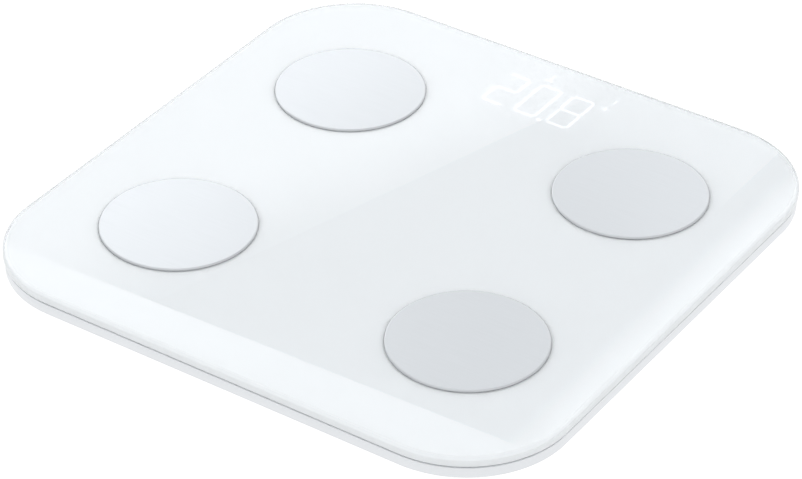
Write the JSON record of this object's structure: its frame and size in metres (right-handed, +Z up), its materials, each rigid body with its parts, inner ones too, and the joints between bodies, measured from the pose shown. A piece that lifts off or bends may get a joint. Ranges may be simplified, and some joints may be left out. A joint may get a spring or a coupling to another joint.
{
  "type": "digital bathroom scale",
  "caption": "Square glass platform with rounded corners, round steel electrodes and a lit display, on a white base with load cell feet, a unit button and a battery bay.",
  "frame": {"origin": "on the floor, below the middle of the platform", "axes": "+Z up; +X along the front edge to the right; +Y from the front edge towards the display"},
  "size_m": [0.3, 0.3, 0.025],
  "materials": {
    "glass": "clear tempered glass, white print on its back",
    "electrode_steel": "fine satin",
    "adhesive": "foam adhesive",
    "base_plastic": "semi gloss white ABS",
    "black_plastic": "matt",
    "board": "solder mask",
    "white_plastic": "matt",
    "film": "diffusing film",
    "shield": "tinned",
    "nickel": "nickel plate",
    "cell_steel": "zinc plate",
    "bracket_plastic": "matt",
    "pad_rubber": "soft",
    "battery_case": "printed sleeve",
    "red_wire": "satin",
    "black_wire": "satin",
    "white_wire": "satin"
  },
  "bodies": {
    "scale": {"glass_platform": "glass", "glass_adhesive": "adhesive", "base_shell": "base_plastic", "main_board": "board", "display_housing": "white_plastic", "display_film": "film", "controller_chip": "black_plastic", "radio_module": "shield", "load_cell_header": "white_plastic", "electrode_header": "white_plastic", "battery_header": "white_plastic", "unit_switch": "black_plastic", "battery_lead_red": "red_wire", "battery_lead_black": "black_wire", "board_screw_1": "nickel", "board_screw_2": "nickel", "board_screw_3": "nickel", "battery_1": "battery_case", "battery_2": "battery_case", "battery_3": "battery_case", "battery_4": "battery_case", "contact_plus": "nickel", "contact_minus": "nickel", "contact_bridge_back": "nickel", "contact_bridge_front_left": "nickel", "contact_bridge_front_right": "nickel", "electrode_front_left": "electrode_steel", "electrode_nut_front_left": "nickel", "electrode_lead_front_left": "white_wire", "load_cell_front_left": "cell_steel", "load_cell_bracket_front_left": "bracket_plastic", "load_cell_lead_front_left": "black_wire", "electrode_front_right": "electrode_steel", "electrode_nut_front_right": "nickel", "electrode_lead_front_right": "white_wire", "load_cell_front_right": "cell_steel", "load_cell_bracket_front_right": "bracket_plastic", "load_cell_lead_front_right": "black_wire", "electrode_back_left": "electrode_steel", "electrode_nut_back_left": "nickel", "electrode_lead_back_left": "white_wire", "load_cell_back_left": "cell_steel", "load_cell_bracket_back_left": "bracket_plastic", "load_cell_lead_back_left": "black_wire", "electrode_back_right": "electrode_steel", "electrode_nut_back_right": "nickel", "electrode_lead_back_right": "white_wire", "load_cell_back_right": "cell_steel", "load_cell_bracket_back_right": "bracket_plastic", "load_cell_lead_back_right": "black_wire"},
    "foot_front_left": {"foot_cap_front_left": "base_plastic", "foot_pad_front_left": "pad_rubber"},
    "foot_front_right": {"foot_cap_front_right": "base_plastic", "foot_pad_front_right": "pad_rubber"},
    "foot_back_left": {"foot_cap_back_left": "base_plastic", "foot_pad_back_left": "pad_rubber"},
    "foot_back_right": {"foot_cap_back_right": "base_plastic", "foot_pad_back_right": "pad_rubber"},
    "unit_button": {"unit_button": "base_plastic"},
    "battery_cover": {"battery_cover": "base_plastic"}
  },
  "joints": [
    {"name": "foot_front_left_travel", "type": "slide", "parent": "scale", "child": "foot_front_left", "axis": [0, 0, 1], "range_m": [0, 0.0003], "stiffness_N_per_m": 1600000},
    {"name": "foot_front_right_travel", "type": "slide", "parent": "scale", "child": "foot_front_right", "axis": [0, 0, 1], "range_m": [0, 0.0003], "stiffness_N_per_m": 1600000},
    {"name": "foot_back_left_travel", "type": "slide", "parent": "scale", "child": "foot_back_left", "axis": [0, 0, 1], "range_m": [0, 0.0003], "stiffness_N_per_m": 1600000},
    {"name": "foot_back_right_travel", "type": "slide", "parent": "scale", "child": "foot_back_right", "axis": [0, 0, 1], "range_m": [0, 0.0003], "stiffness_N_per_m": 1600000},
    {"name": "unit_button_press", "type": "slide", "parent": "scale", "child": "unit_button", "axis": [0, 0, 1], "range_m": [0, 0.0005], "stiffness_N_per_m": 3000},
    {"name": "battery_cover_hinge", "type": "hinge", "parent": "scale", "child": "battery_cover", "pos_m": [0, -0.0314, 0.0035], "axis": [-1, 0, 0], "range_deg": [0, 70]}
  ]
}
